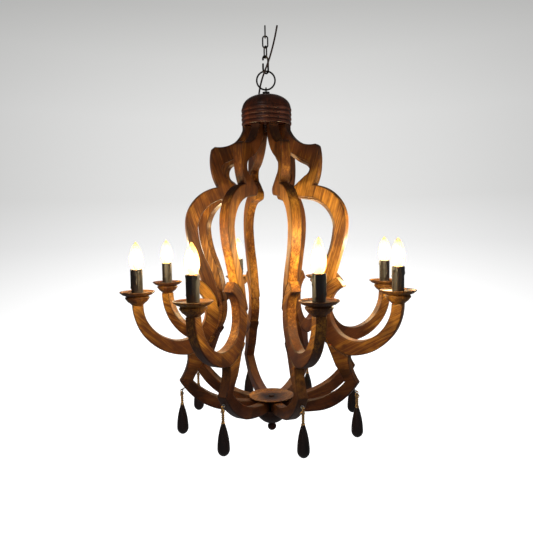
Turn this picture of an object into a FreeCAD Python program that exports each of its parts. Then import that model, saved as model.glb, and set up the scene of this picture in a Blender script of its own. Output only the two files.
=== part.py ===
import FreeCAD, Part
import math
import os
import sys

import Sketcher
from FreeCAD import Placement, Rotation, Vector

# A carved wooden chandelier: eight sawn ribs make a cage under a turned cap, eight C-shaped
# arms carry candle lights, and eight wooden drops hang from the feet of the ribs.
# The frame's origin is the point where a ceiling hook carries the top chain link, +Z is up,
# and light 1 faces -Y. Board outlines are drawn as (distance from the axis, height), with the
# height counted from the rims of the candle cups, which lie at rim_level.

# Driving dimensions in millimetres and degrees.
DIMENSIONS = {
    # boards of the cage
    "lights": 8,
    "board": 25.0,
    "rib_top_inner": 34.0,
    "rib_top_outer": 64.0,
    "rib_top_level": 424.0,
    "flare_start_level": 414.0,
    "flare_end_reach": 144.0,
    "flare_end_level": 365.0,
    "flare_sweep": 73.9,
    "shoulder_reach": 150.0,
    "shoulder_level": 360.0,
    "shoulder_sweep": 131.7,
    "notch_reach": 137.0,
    "notch_level": 262.0,
    "belly_reach": 223.0,
    "belly_level": 165.0,
    "belly_top_sweep": 96.4,
    "belly_low_sweep": 198.0,
    "belly_end_reach": 208.0,
    "belly_end_level": 90.0,
    "inner_waist_reach": 175.0,
    "inner_waist_level": 78.0,
    "inner_waist_sweep": 267.5,
    "inner_belly_reach": 193.0,
    "inner_belly_level": 156.0,
    "inner_belly_low_sweep": 238.9,
    "inner_belly_top_sweep": 82.9,
    "throat_reach": 131.0,
    "throat_level": 230.0,
    "tooth_reach": 83.0,
    "tooth_low_level": 236.0,
    "tooth_high_level": 262.0,
    "tooth_round": 14.5,
    "hollow_reach": 113.0,
    "hollow_low_level": 286.0,
    "hollow_high_level": 327.0,
    "hollow_round": 22.0,
    "inner_flare_level": 409.0,
    "inner_flare_sweep": 122.8,
    # arms
    "back_round": 107.0,
    "back_centre_reach": 250.0,
    "back_centre_level": -66.0,
    "block_angle": 120.0,
    "rib_joint_angle": 127.5,
    "waist_angle": 172.0,
    "foot_joint_angle": 212.0,
    "foot_corner_angle": 257.6,
    "arm_reach": 350.0,
    "arm_width": 27.0,
    "arm_top_level": -34.0,
    "arm_outer_sweep": 136.9,
    "arm_inner_reach": 260.0,
    "arm_inner_level": -131.0,
    "arm_inner_sweep": 98.9,
    "arm_left_reach": 178.0,
    "arm_left_level": -52.0,
    "arm_left_sweep": 70.9,
    "block_low_reach": 216.0,
    "block_low_level": 3.0,
    "block_low_sweep": 53.5,
    # feet
    "heel_level": -186.0,
    "toe_reach": 250.0,
    "toe_level": -240.0,
    "heel_sweep": 116.2,
    "sole_reach": 156.0,
    "sole_level": -321.0,
    "sole_sweep": 186.7,
    "hub_sweep": 383.5,
    "hub_seat_reach": 50.0,
    "hub_top_level": -310.0,
    "hub_bottom_level": -338.0,
    "inner_sole_reach": 157.0,
    "inner_sole_level": -286.0,
    "inner_hub_sweep": 246.2,
    "inner_toe_reach": 216.0,
    "inner_toe_level": -240.0,
    "inner_sole_sweep": 197.4,
    "ankle_reach": 192.0,
    "ankle_level": -200.0,
    # dowels and screws
    "dowel_radius": 3.0,
    "dowel_length": 27.0,
    "rib_dowel_step": 7.5,
    "foot_dowel_step": 15.6,
    "screw_radius": 2.0,
    "screw_length": 34.0,
    "screw_head_radius": 4.0,
    "screw_head_depth": 3.2,
    "screw_reach": 45.0,
    # candle lights
    "cup_rim_radius": 43.5,
    "cup_lip": 2.5,
    "cup_edge": 2.2,
    "cup_dish_radius": 33.0,
    "cup_dish_depth": 3.6,
    "cup_neck_radius": 27.0,
    "cup_neck_level": -12.5,
    "cup_bead_radius": 30.0,
    "cup_bead_level": -18.0,
    "cup_bead_height": 3.0,
    "cup_foot_radius": 15.0,
    "nipple_radius": 4.9,
    "nipple_length": 18.0,
    "nipple_play": 0.1,
    "sleeve_radius": 15.5,
    "sleeve_wall": 1.6,
    "sleeve_top_level": 56.0,
    "holder_radius": 11.0,
    "holder_top_level": 52.0,
    "holder_bore_depth": 28.0,
    "bulb_cap_radius": 6.8,
    "bulb_cap_play": 0.25,
    "bulb_cap_length": 22.0,
    "bulb_tip_play": 0.3,
    "contact_radius": 3.0,
    "contact_height": 2.0,
    "bulb_radius": 16.5,
    "bulb_belly_level": 78.0,
    "bulb_neck_level": 54.0,
    "bulb_tip_level": 125.0,
    "bulb_tip_radius": 1.2,
    "bulb_low_sweep": 34.5,
    "bulb_high_sweep": 79.8,
    "glass_wall": 0.8,
    # drops
    "eye_inset": 5.0,
    "eye_drop": 24.6,
    "screw_eye_round": 4.0,
    "screw_eye_wire": 1.0,
    "screw_eye_tilt": 54.0,
    "shank_length": 20.0,
    "shank_play": 0.1,
    "loop_round": 3.0,
    "loop_wire": 1.2,
    "loop_play": 0.3,
    "twine_radius": 3.0,
    "drop_hang": 39.4,
    "drop_height": 78.0,
    "drop_radius": 15.0,
    "drop_neck_radius": 4.6,
    "drop_belly_height": 17.0,
    "drop_low_sweep": 17.6,
    "drop_side_sweep": 190.0,
    "drop_socket_depth": 7.0,
    "drop_socket_play": 0.1,
    # top cap
    "cap_mouth_radius": 64.0,
    "cap_wall": 11.0,
    "cap_height": 77.0,
    "cap_beads": 4,
    "cap_bead_height": 11.75,
    "cap_bead_sweep": 8.7,
    "cap_shoulder_radius": 60.0,
    "cap_shoulder_drop": 14.0,
    "cap_shoulder_sweep": 30.0,
    "cap_edge_radius": 36.0,
    "cap_edge_sweep": 40.0,
    "cap_roof": 11.0,
    "cap_chamber_radius": 38.0,
    "plate_thickness": 12.0,
    "plate_play": 0.3,
    "cord_hole_radius": 4.2,
    "cord_hole_across": -19.6,
    "cord_hole_front": -5.4,
    # eye bolt and nut
    "eye_collar_radius": 9.5,
    "eye_collar_height": 12.9,
    "eye_round": 5.5,
    "eye_wire": 2.0,
    "eye_stem_radius": 4.0,
    "eye_stem_tail": 12.0,
    "bolt_play": 0.2,
    "nut_radius": 7.5,
    "nut_height": 6.5,
    "washer_radius": 12.0,
    "washer_height": 1.6,
    # chain
    "chain_turn": -17.0,
    "chain_wire": 3.75,
    "link_length": 34.0,
    "link_width": 17.0,
    "link_play": 0.4,
    "top_link_turn": 90.0,
    "link_two_turn": -62.0,
    "open_link_wire": 5.0,
    "open_link_length": 49.5,
    "open_link_width": 26.0,
    "open_link_gap": 8.5,
    "open_link_gap_rise": 5.0,
    "open_link_turn": 50.0,
    "ring_wire": 4.5,
    "ring_outer": 53.0,
    "ring_play": 0.8,
    # foot of the cage
    "dish_radius": 62.0,
    "dish_rim_height": 7.0,
    "dish_floor": 3.4,
    "dish_edge": 2.5,
    "dish_heel": 2.0,
    "boss_radius": 42.0,
    "boss_edge_height": 14.0,
    "boss_foot_radius": 14.0,
    "boss_foot_level": -379.0,
    "boss_sweep": 45.0,
    "finial_radius": 12.0,
    "finial_girth_drop": 11.0,
    "finial_ball_height": 21.0,
    "finial_sweep": 12.5,
    "finial_neck_radius": 7.0,
    "finial_neck_height": 2.5,
    "tie_radius": 3.0,
    "tie_depth": 9.0,
    # wiring
    "cord_radius": 2.3,
    "terminal_length": 24.0,
    "terminal_width": 12.0,
    "terminal_height": 14.0,
    "terminal_across": -20.0,
    "terminal_front": -3.0,
}


class Size:
    """A number kept together with the sheet expression that gives it."""

    def __init__(self, value, text):
        self.value = value
        self.text = text

    def joined(self, sign, other, value):
        return Size(value, "(%s %s %s)" % (self.text, sign, other.text))

    def __add__(self, other):
        other = as_size(other)
        return self.joined("+", other, self.value + other.value)

    def __sub__(self, other):
        other = as_size(other)
        return self.joined("-", other, self.value - other.value)

    def __mul__(self, other):
        other = as_size(other)
        return self.joined("*", other, self.value * other.value)

    def __truediv__(self, other):
        other = as_size(other)
        return self.joined("/", other, self.value / other.value)

    def __radd__(self, other):
        return as_size(other) + self

    def __rsub__(self, other):
        return as_size(other) - self

    def __rmul__(self, other):
        return as_size(other) * self

    def __neg__(self):
        return 0 - self


def as_size(item):
    return item if isinstance(item, Size) else Size(float(item), "%r" % float(item))


def cosine(angle):
    return Size(math.cos(math.radians(angle.value)), "cos(%s * 1 deg)" % angle.text)


def sine(angle):
    return Size(math.sin(math.radians(angle.value)), "sin(%s * 1 deg)" % angle.text)


doc = FreeCAD.newDocument("Chandelier")
sheet = doc.addObject("Spreadsheet::Sheet", "Sizes")
for row, (name, number) in enumerate(DIMENSIONS.items(), start=1):
    sheet.set("A%d" % row, name)
    sheet.set("B%d" % row, str(number))
    sheet.setAlias("B%d" % row, name)
doc.recompute()


class Sheet:
    """Each driving dimension as a Size: s.board is the cell called board."""

    def __getattr__(self, name):
        return Size(float(DIMENSIONS[name]), "Sizes." + name)


s = Sheet()
LIGHTS = DIMENSIONS["lights"]
LEFT, RIGHT = 1, -1


# ---------------------------------------------------------------- drawing helpers

def bind(item, **sizes):
    """Set an object's own properties from sizes and keep them bound to the sheet."""
    for name, size in sizes.items():
        item.setExpression(name, as_size(size).text)


def plane_of(body, role):
    return next(item for item in body.Origin.OriginFeatures if item.Role == role)


def new_sketch(body, name, role, x=0.0, y=0.0, z=0.0, turn=0.0):
    """An empty sketch on one of the body's own planes, shifted and turned within it."""
    sketch = body.newObject("Sketcher::SketchObject", name)
    sketch.AttachmentSupport = (plane_of(body, role), [""])
    sketch.MapMode = "FlatFace"
    x, y, z = as_size(x), as_size(y), as_size(z)
    sketch.AttachmentOffset = Placement(
        Vector(x.value, y.value, z.value), Rotation(Vector(0, 0, 1), turn))
    for axis, size in zip("xyz", (x, y, z)):
        sketch.setExpression("AttachmentOffset.Base." + axis, size.text)
    return sketch


def pin_corner(sketch, piece, end, x, y):
    """Fix one corner of an outline at the bound place (x, y)."""
    for kind, size in (("DistanceX", x), ("DistanceY", y)):
        if abs(size.value) < 1e-9:
            axis = -2 if kind == "DistanceX" else -1
            sketch.addConstraint(Sketcher.Constraint("PointOnObject", piece, end, axis))
            continue
        number = sketch.addConstraint(Sketcher.Constraint(kind, -1, 1, piece, end, size.value))
        sketch.setExpression("Constraints[%d]" % number, size.text)


def arc_between(start, end, radius, side):
    """The short arc from start to end, with its centre on the given side of the way."""
    chord = end - start
    half = chord.Length / 2
    rise = math.sqrt(max(radius * radius - half * half, 0.0))
    across = Vector(-chord.y, chord.x, 0).normalize()
    centre = (start + end) * 0.5 + across * (side * rise)
    first, last = (start, end) if side == LEFT else (end, start)
    angles = [math.atan2(p.y - centre.y, p.x - centre.x) for p in (first, last)]
    if angles[1] < angles[0]:
        angles[1] += 2 * math.pi
    circle = Part.Circle(centre, Vector(0, 0, 1), radius)
    return Part.ArcOfCircle(circle, angles[0], angles[1])


def draw(sketch, path, closed=True):
    """Draw an outline: each step is (x, y), or (x, y, radius, side) for an arc to that corner."""
    corners = [(as_size(step[0]), as_size(step[1])) for step in path]
    steps = list(zip(corners, corners[1:], path[1:]))
    if closed:
        steps.append((corners[-1], corners[0], path[0]))
    ends = []
    for start, end, step in steps:
        here = Vector(start[0].value, start[1].value, 0)
        there = Vector(end[0].value, end[1].value, 0)
        if len(step) == 2:
            piece = sketch.addGeometry(Part.LineSegment(here, there), False)
            ends.append((piece, 1, 2))
            continue
        radius, side = as_size(step[2]), step[3]
        piece = sketch.addGeometry(arc_between(here, there, radius.value, side), False)
        ends.append((piece, 1, 2) if side == LEFT else (piece, 2, 1))
        number = sketch.addConstraint(Sketcher.Constraint("Radius", piece, radius.value))
        sketch.setExpression("Constraints[%d]" % number, radius.text)
    for (piece, first, last), (start, end, step) in zip(ends, steps):
        pin_corner(sketch, piece, first, *start)
    if not closed:
        piece, first, last = ends[-1]
        pin_corner(sketch, piece, last, *corners[-1])
    followers = ends[1:] + (ends[:1] if closed else [])
    for (piece, first, last), (other, begin, finish) in zip(ends, followers):
        sketch.addConstraint(Sketcher.Constraint("Coincident", piece, last, other, begin))
    return sketch


def draw_circle(sketch, x, y, radius):
    x, y, radius = as_size(x), as_size(y), as_size(radius)
    centre = Vector(x.value, y.value, 0)
    piece = sketch.addGeometry(Part.Circle(centre, Vector(0, 0, 1), radius.value), False)
    number = sketch.addConstraint(Sketcher.Constraint("Radius", piece, radius.value))
    sketch.setExpression("Constraints[%d]" % number, radius.text)
    pin_corner(sketch, piece, 3, x, y)
    return sketch


def new_body(name):
    return doc.addObject("PartDesign::Body", name)


def sawn_board(name, path):
    """A board sawn to an outline, centred on the rib's plane."""
    body = new_body(name)
    outline = draw(new_sketch(body, name + "_outline", "XZ_Plane"), path)
    pad = body.newObject("PartDesign::Pad", name + "_pad")
    pad.Profile = outline
    pad.Midplane = True
    bind(pad, Length=s.board)
    return body


def drill(body, name, reach, level, radius, depth, upward=False):
    """An upright hole that starts inside the board at level and runs down or up."""
    doc.recompute()
    before = body.Shape.Volume
    mouth = draw_circle(new_sketch(body, name + "_mouth", "XY_Plane", z=level), reach, 0, radius)
    hole = body.newObject("PartDesign::Pocket", name)
    hole.Profile = mouth
    hole.Reversed = upward
    bind(hole, Length=depth)
    doc.recompute()
    if not body.Shape.Volume < before - 1.0:
        sys.exit("%s removes no wood" % name)


def turn_on_lathe(name, path, x=0.0):
    """A piece turned from a half profile about the upright line at distance x."""
    body = new_body(name)
    profile = draw(new_sketch(body, name + "_profile", "XZ_Plane", x=x), path)
    turned = body.newObject("PartDesign::Revolution", name + "_turned")
    turned.Profile = profile
    turned.ReferenceAxis = (profile, ["V_Axis"])
    turned.Angle = 360
    return body


def place(item, z, angle=0.0, x=0.0, y=0.0):
    """Stand a piece at height z, turned about the upright axis."""
    x, y, z = as_size(x), as_size(y), as_size(z)
    item.Placement = Placement(
        Vector(x.value, y.value, z.value), Rotation(Vector(0, 0, 1), angle))
    for axis, size in zip("xyz", (x, y, z)):
        item.setExpression("Placement.Base." + axis, size.text)
    return item


def copy_of(name, pieces, z=0.0, angle=0.0):
    """The pieces as one placed item under its own name."""
    item = doc.addObject("Part::Compound", name)
    item.Links = pieces
    return place(item, z, angle)


def light_angle(number):
    """The bearing of light 1, 2, ...: the first faces -Y, the others follow anticlockwise."""
    return -90.0 + (number - 1) * 360.0 / LIGHTS


nodes = []


def keep(item):
    item.Label = item.Name
    nodes.append(item)
    return item


def keep_each(name, pieces, z):
    """One node for each light: name_1, name_2, ..."""
    for number in range(1, LIGHTS + 1):
        keep(copy_of("%s_%d" % (name, number), pieces, z, light_angle(number)))


def keep_group(name, pieces, z, single=()):
    """One node that holds a copy for each light, and any single pieces with them."""
    copies = [copy_of("%s_copy_%d" % (name, number), pieces, 0.0, light_angle(number))
              for number in range(1, LIGHTS + 1)]
    group = doc.addObject("Part::Compound", name)
    group.Links = copies + list(single)
    keep(place(group, z))


# ---------------------------------------------------------------- heights of the chain

half_chain = s.chain_wire / 2
link_step = s.link_length - s.chain_wire
chain_seat = s.chain_wire + s.link_play
top_link_low = half_chain - link_step
link_one_high = top_link_low + chain_seat
link_one_low = link_one_high - link_step
link_two_high = link_one_low + chain_seat
link_two_low = link_two_high - link_step
open_link_high = link_two_low + (s.chain_wire + s.open_link_wire) / 2 + s.link_play
open_link_low = open_link_high - (s.open_link_length - s.open_link_wire)
ring_high = open_link_low + (s.open_link_wire + s.ring_wire) / 2 + s.ring_play
ring_low = ring_high - (s.ring_outer - s.ring_wire)
eye_bar = ring_low + s.ring_wire / 2 + s.eye_wire + s.link_play
eye_centre = eye_bar - s.eye_round
cap_top = eye_centre - s.eye_round - s.eye_collar_height
cap_mouth = cap_top - s.cap_height
rim_level = cap_mouth - s.rib_top_level

# The wire of each screw eye, where a drop hangs, follows the toe of the foot.
pivot_reach = s.toe_reach - s.eye_inset
pivot_level = s.toe_level - s.eye_drop
drop_top = pivot_level - s.drop_hang


# ---------------------------------------------------------------- ribs, arms and feet

def on_back(angle, play=0.0):
    """A point on the round back of an arm, where the rib and the foot are glued on."""
    radius = s.back_round + play
    reach = s.back_centre_reach + radius * cosine(angle)
    level = s.back_centre_level + radius * sine(angle)
    return reach, level


def rib_path():
    low_corner = on_back(s.rib_joint_angle)
    waist = on_back(s.waist_angle)
    return [
        (s.rib_top_inner, s.rib_top_level),
        (s.rib_top_outer, s.rib_top_level),
        (s.rib_top_outer, s.flare_start_level),
        (s.flare_end_reach, s.flare_end_level, s.flare_sweep, LEFT),
        (s.shoulder_reach, s.shoulder_level),
        (s.notch_reach, s.notch_level, s.shoulder_sweep, RIGHT),
        (s.belly_reach, s.belly_level, s.belly_top_sweep, RIGHT),
        (s.belly_end_reach, s.belly_end_level, s.belly_low_sweep, RIGHT),
        low_corner,
        (waist[0], waist[1], s.back_round, LEFT),
        (s.inner_waist_reach, s.inner_waist_level, s.inner_waist_sweep, RIGHT),
        (s.inner_belly_reach, s.inner_belly_level, s.inner_belly_low_sweep, LEFT),
        (s.throat_reach, s.throat_level, s.inner_belly_top_sweep, LEFT),
        (s.tooth_reach, s.tooth_low_level),
        (s.tooth_reach, s.tooth_high_level, s.tooth_round, RIGHT),
        (s.hollow_reach, s.hollow_low_level),
        (s.hollow_reach, s.hollow_high_level, s.hollow_round, LEFT),
        (s.rib_top_inner, s.inner_flare_level, s.inner_flare_sweep, RIGHT),
    ]


def arm_path():
    block = on_back(s.block_angle)
    waist = on_back(s.waist_angle)
    corner = on_back(s.foot_corner_angle)
    inner_side = s.arm_reach - s.arm_width / 2
    outer_side = s.arm_reach + s.arm_width / 2
    return [
        (inner_side, s.arm_top_level),
        (s.arm_inner_reach, s.arm_inner_level, s.arm_inner_sweep, RIGHT),
        (s.arm_left_reach, s.arm_left_level, s.arm_left_sweep, RIGHT),
        (s.block_low_reach, s.block_low_level, s.block_low_sweep, RIGHT),
        block,
        (waist[0], waist[1], s.back_round, LEFT),
        (corner[0], corner[1], s.back_round, LEFT),
        (outer_side, s.arm_top_level, s.arm_outer_sweep, LEFT),
    ]


def foot_path():
    top = on_back(s.foot_joint_angle)
    corner = on_back(s.foot_corner_angle)
    return [
        top,
        (corner[0], corner[1], s.back_round, LEFT),
        (corner[0], s.heel_level),
        (s.toe_reach, s.toe_level, s.heel_sweep, LEFT),
        (s.sole_reach, s.sole_level, s.sole_sweep, RIGHT),
        (s.hub_seat_reach, s.hub_bottom_level, s.hub_sweep, RIGHT),
        (s.rib_top_inner, s.hub_bottom_level),
        (s.rib_top_inner, s.hub_top_level),
        (s.hub_seat_reach, s.hub_top_level),
        (s.inner_sole_reach, s.inner_sole_level, s.inner_hub_sweep, LEFT),
        (s.inner_toe_reach, s.inner_toe_level, s.inner_sole_sweep, LEFT),
        (s.ankle_reach, s.ankle_level),
    ]


half_dowel = s.dowel_length / 2
drill_run = 2 * s.dowel_length

# The dowels cross the glued joints a little way from the tip of the rib and of the foot.
rib_dowel_reach, rib_dowel_level = on_back(s.rib_joint_angle + s.rib_dowel_step)
foot_dowel_reach, foot_dowel_level = on_back(s.foot_corner_angle - s.foot_dowel_step)

rib = sawn_board("rib_board", rib_path())
drill(rib, "rib_dowel_hole", rib_dowel_reach, rib_dowel_level + half_dowel,
      s.dowel_radius, drill_run)
drill(rib, "rib_screw_hole", s.screw_reach,
      s.rib_top_level - s.screw_length + s.plate_thickness, s.screw_radius, s.screw_length, True)

arm = sawn_board("arm_board", arm_path())
drill(arm, "arm_rib_dowel_hole", rib_dowel_reach, rib_dowel_level - half_dowel,
      s.dowel_radius, drill_run, True)
drill(arm, "arm_foot_dowel_hole", foot_dowel_reach, foot_dowel_level + half_dowel,
      s.dowel_radius, drill_run)
drill(arm, "arm_nipple_hole", s.arm_reach, s.arm_top_level - s.nipple_length,
      s.nipple_radius + s.nipple_play, drill_run, True)

foot = sawn_board("foot_board", foot_path())
drill(foot, "foot_dowel_hole", foot_dowel_reach, foot_dowel_level - half_dowel,
      s.dowel_radius, drill_run, True)


def shank_sketch(body, name):
    """A sketch whose upright axis runs along the shank of a screw eye, from the eye's centre."""
    lean = s.screw_eye_tilt
    reach = pivot_reach - s.screw_eye_round * sine(lean)
    level = pivot_level + s.screw_eye_round * cosine(lean)
    return new_sketch(body, name, "XZ_Plane", x=reach, y=level, turn=lean.value)


shank_hole = draw(shank_sketch(foot, "shank_hole_profile"), [
    (0, 0),
    (s.screw_eye_wire + s.shank_play, 0),
    (s.screw_eye_wire + s.shank_play, s.shank_length),
    (0, s.shank_length)])
doc.recompute()
wood_before = foot.Shape.Volume
shank_cut = foot.newObject("PartDesign::Groove", "shank_hole")
shank_cut.Profile = shank_hole
shank_cut.ReferenceAxis = (shank_hole, ["V_Axis"])
shank_cut.Angle = 360
doc.recompute()
if not foot.Shape.Volume < wood_before - 1.0:
    sys.exit("the screw eye's hole removes no wood")

keep_each("upper_rib", [rib], rim_level)
keep_each("arm", [arm], rim_level)
keep_each("foot", [foot], rim_level)


def dowel(name, reach, level):
    pin = doc.addObject("Part::Cylinder", name)
    bind(pin, Radius=s.dowel_radius, Height=s.dowel_length)
    return place(pin, level - half_dowel, x=reach)


keep_group("joint_dowels", [
    dowel("rib_dowel", rib_dowel_reach, rib_dowel_level),
    dowel("foot_dowel", foot_dowel_reach, foot_dowel_level)], rim_level)


# ---------------------------------------------------------------- candle lights

dish_floor = -s.cup_dish_depth
cup = turn_on_lathe("cup", [
    (s.nipple_radius + s.nipple_play, s.arm_top_level),
    (s.cup_foot_radius, s.arm_top_level),
    (s.cup_bead_radius, s.cup_bead_level),
    (s.cup_bead_radius, s.cup_bead_level + s.cup_bead_height),
    (s.cup_neck_radius, s.cup_neck_level),
    (s.cup_rim_radius, -s.cup_edge),
    (s.cup_rim_radius, 0),
    (s.cup_rim_radius - s.cup_lip, 0),
    (s.cup_dish_radius, dish_floor),
    (s.nipple_radius + s.nipple_play, dish_floor)], x=s.arm_reach)

sleeve_bore = s.sleeve_radius - s.sleeve_wall
sleeve = turn_on_lathe("sleeve", [
    (sleeve_bore, dish_floor),
    (s.sleeve_radius, dish_floor),
    (s.sleeve_radius, s.sleeve_top_level),
    (sleeve_bore, s.sleeve_top_level)], x=s.arm_reach)

holder_bore = s.bulb_cap_radius + s.bulb_cap_play
holder_floor = s.holder_top_level - s.holder_bore_depth
holder = turn_on_lathe("holder", [
    (0, s.arm_top_level - s.nipple_length),
    (s.nipple_radius, s.arm_top_level - s.nipple_length),
    (s.nipple_radius, dish_floor),
    (s.holder_radius, dish_floor),
    (s.holder_radius, s.holder_top_level),
    (holder_bore, s.holder_top_level),
    (holder_bore, holder_floor),
    (0, holder_floor)], x=s.arm_reach)

keep_group("candle_cups", [cup], rim_level)
keep_group("candle_sleeves", [sleeve], rim_level)
keep_group("lampholders", [holder], rim_level)

contact_low = holder_floor + s.bulb_tip_play
cap_low = contact_low + s.contact_height
glass_low = cap_low + s.bulb_cap_length
bulb_cap = turn_on_lathe("bulb_cap", [
    (0, contact_low),
    (s.contact_radius, contact_low),
    (s.contact_radius, cap_low),
    (s.bulb_cap_radius, cap_low),
    (s.bulb_cap_radius, glass_low),
    (0, glass_low)], x=s.arm_reach)

neck = s.bulb_cap_radius
bulb_hollow_top = s.bulb_tip_level - 4 * s.glass_wall
inner_neck = neck - s.glass_wall
inner_belly = s.bulb_radius - s.glass_wall
glass = turn_on_lathe("bulb_glass", [
    (inner_neck, glass_low),
    (neck, glass_low),
    (neck, s.bulb_neck_level),
    (s.bulb_radius, s.bulb_belly_level, s.bulb_low_sweep, LEFT),
    (s.bulb_tip_radius, s.bulb_tip_level, s.bulb_high_sweep, LEFT),
    (0, s.bulb_tip_level),
    (0, bulb_hollow_top),
    (s.bulb_tip_radius / 2, bulb_hollow_top),
    (inner_belly, s.bulb_belly_level, s.bulb_high_sweep - s.glass_wall, RIGHT),
    (inner_neck, s.bulb_neck_level, s.bulb_low_sweep - s.glass_wall, RIGHT)], x=s.arm_reach)
keep_each("bulb", [glass, bulb_cap], rim_level)


# ---------------------------------------------------------------- hanging drops

eye_lean = s.screw_eye_tilt
eye_reach = pivot_reach - s.screw_eye_round * sine(eye_lean)
eye_level = pivot_level + s.screw_eye_round * cosine(eye_lean)

small_eye = doc.addObject("Part::Torus", "screw_eye_ring")
bind(small_eye, Radius1=s.screw_eye_round, Radius2=s.screw_eye_wire)
place(small_eye, eye_level, x=eye_reach)
small_eye.Placement.Rotation = Rotation(Vector(0, 1, 0), 90 - eye_lean.value)
shank = doc.addObject("Part::Cylinder", "screw_eye_shank")
bind(shank, Radius=s.screw_eye_wire, Height=s.shank_length - s.screw_eye_round)
place(shank, eye_level + s.screw_eye_round * cosine(eye_lean),
      x=eye_reach - s.screw_eye_round * sine(eye_lean))
shank.Placement.Rotation = Rotation(Vector(0, 1, 0), -eye_lean.value)
screw_eye = doc.addObject("Part::MultiFuse", "screw_eye")
screw_eye.Shapes = [small_eye, shank]
keep_group("screw_eyes", [screw_eye], rim_level)

loop_centre = pivot_level + s.screw_eye_wire + s.loop_play - s.loop_round + s.loop_wire
loop = doc.addObject("Part::Torus", "twine_loop")
bind(loop, Radius1=s.loop_round, Radius2=s.loop_wire)
place(loop, loop_centre, x=pivot_reach)
loop.Placement.Rotation = Rotation(Vector(1, 0, 0), 90)
strand_top = loop_centre - s.loop_round
strand_end = drop_top - s.drop_socket_depth
strand = doc.addObject("Part::Cylinder", "twine_strand")
bind(strand, Radius=s.twine_radius, Height=strand_top - strand_end)
place(strand, strand_end, x=pivot_reach)
twine = doc.addObject("Part::MultiFuse", "twine")
twine.Shapes = [loop, strand]

drop_low = drop_top - s.drop_height
socket = s.twine_radius + s.drop_socket_play
drop_wood = turn_on_lathe("drop_wood", [
    (0, drop_low),
    (s.drop_radius, drop_low + s.drop_belly_height, s.drop_low_sweep, LEFT),
    (s.drop_neck_radius, drop_top, s.drop_side_sweep, LEFT),
    (socket, drop_top),
    (socket, strand_end),
    (0, strand_end)], x=pivot_reach)
keep_each("drop", [drop_wood, twine], rim_level)


# ---------------------------------------------------------------- top cap and its fittings

cap_side = s.cap_beads * s.cap_bead_height
beads = [(s.cap_mouth_radius, number * s.cap_bead_height, s.cap_bead_sweep, LEFT)
         for number in range(1, DIMENSIONS["cap_beads"] + 1)]
bolt_hole = s.eye_stem_radius + s.bolt_play
mouth_bore = s.cap_mouth_radius - s.cap_wall
chamber_high = s.cap_height - s.cap_roof
cap = turn_on_lathe("top_cap", [(mouth_bore, 0), (s.cap_mouth_radius, 0)] + beads + [
    (s.cap_shoulder_radius, s.cap_height - s.cap_shoulder_drop, s.cap_shoulder_sweep, LEFT),
    (s.cap_edge_radius, s.cap_height, s.cap_edge_sweep, LEFT),
    (bolt_hole, s.cap_height),
    (bolt_hole, chamber_high),
    (s.cap_chamber_radius, chamber_high),
    (mouth_bore, cap_side)])
place(cap, cap_mouth, DIMENSIONS["chain_turn"])
cord_hole = draw_circle(new_sketch(cap, "cord_hole_mouth", "XY_Plane", z=s.cap_height),
                        s.cord_hole_across, s.cord_hole_front, s.cord_hole_radius)
cord_cut = cap.newObject("PartDesign::Pocket", "cord_hole")
cord_cut.Profile = cord_hole
bind(cord_cut, Length=2 * s.cap_roof)
keep(cap)

plate = turn_on_lathe("top_plate", [
    (bolt_hole, 0),
    (mouth_bore - s.plate_play, 0),
    (mouth_bore - s.plate_play, s.plate_thickness),
    (bolt_hole, s.plate_thickness)])
place(plate, cap_mouth, light_angle(1))
doc.recompute()
plate_hole = draw_circle(new_sketch(plate, "plate_hole_mouth", "XY_Plane", z=s.plate_thickness),
                         s.screw_reach, 0, s.screw_radius)
plate_cut = plate.newObject("PartDesign::Pocket", "plate_hole")
plate_cut.Profile = plate_hole
bind(plate_cut, Length=2 * s.plate_thickness)
plate_holes = plate.newObject("PartDesign::PolarPattern", "plate_holes")
plate_holes.Originals = [plate_cut]
plate_holes.Axis = (plate_hole, ["N_Axis"])
plate_holes.Angle = 360
bind(plate_holes, Occurrences=s.lights)
plate.Tip = plate_holes
keep(plate)

screw = turn_on_lathe("rib_screw", [
    (0, s.plate_thickness - s.screw_length),
    (s.screw_radius, s.plate_thickness - s.screw_length),
    (s.screw_radius, s.plate_thickness),
    (s.screw_head_radius, s.plate_thickness),
    (s.screw_head_radius, s.plate_thickness + s.screw_head_depth),
    (0, s.plate_thickness + s.screw_head_depth)], x=s.screw_reach)
eye_loop = doc.addObject("Part::Torus", "eye_loop")
bind(eye_loop, Radius1=s.eye_round, Radius2=s.eye_wire)
place(eye_loop, eye_centre - cap_top)
eye_loop.Placement.Rotation = Rotation(Vector(0, 1, 0), 90)
collar = doc.addObject("Part::Cylinder", "eye_collar")
bind(collar, Radius=s.eye_collar_radius, Height=s.eye_collar_height)
stem_length = s.cap_height + s.eye_stem_tail
stem = doc.addObject("Part::Cylinder", "eye_stem")
bind(stem, Radius=s.eye_stem_radius, Height=stem_length + s.eye_collar_height / 2)
place(stem, -stem_length)
cap_eye = doc.addObject("Part::MultiFuse", "cap_eye")
cap_eye.Shapes = [eye_loop, collar, stem]
keep(place(cap_eye, cap_top, DIMENSIONS["chain_turn"]))

eye_nut = turn_on_lathe("eye_nut", [
    (bolt_hole, -s.washer_height - s.nut_height),
    (s.nut_radius, -s.washer_height - s.nut_height),
    (s.nut_radius, -s.washer_height),
    (s.washer_radius, -s.washer_height),
    (s.washer_radius, 0),
    (bolt_hole, 0)])
keep_group("cap_fixings", [screw], cap_mouth, [eye_nut])

terminal_box = doc.addObject("Part::Box", "terminal_box")
bind(terminal_box, Length=s.terminal_width, Width=s.terminal_length, Height=s.terminal_height)
place(terminal_box, s.plate_thickness, 0,
      s.terminal_across - s.terminal_width / 2, s.terminal_front - s.terminal_length / 2)
keep(copy_of("terminal_block", [terminal_box], cap_mouth, DIMENSIONS["chain_turn"]))


# ---------------------------------------------------------------- ring and chain

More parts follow.
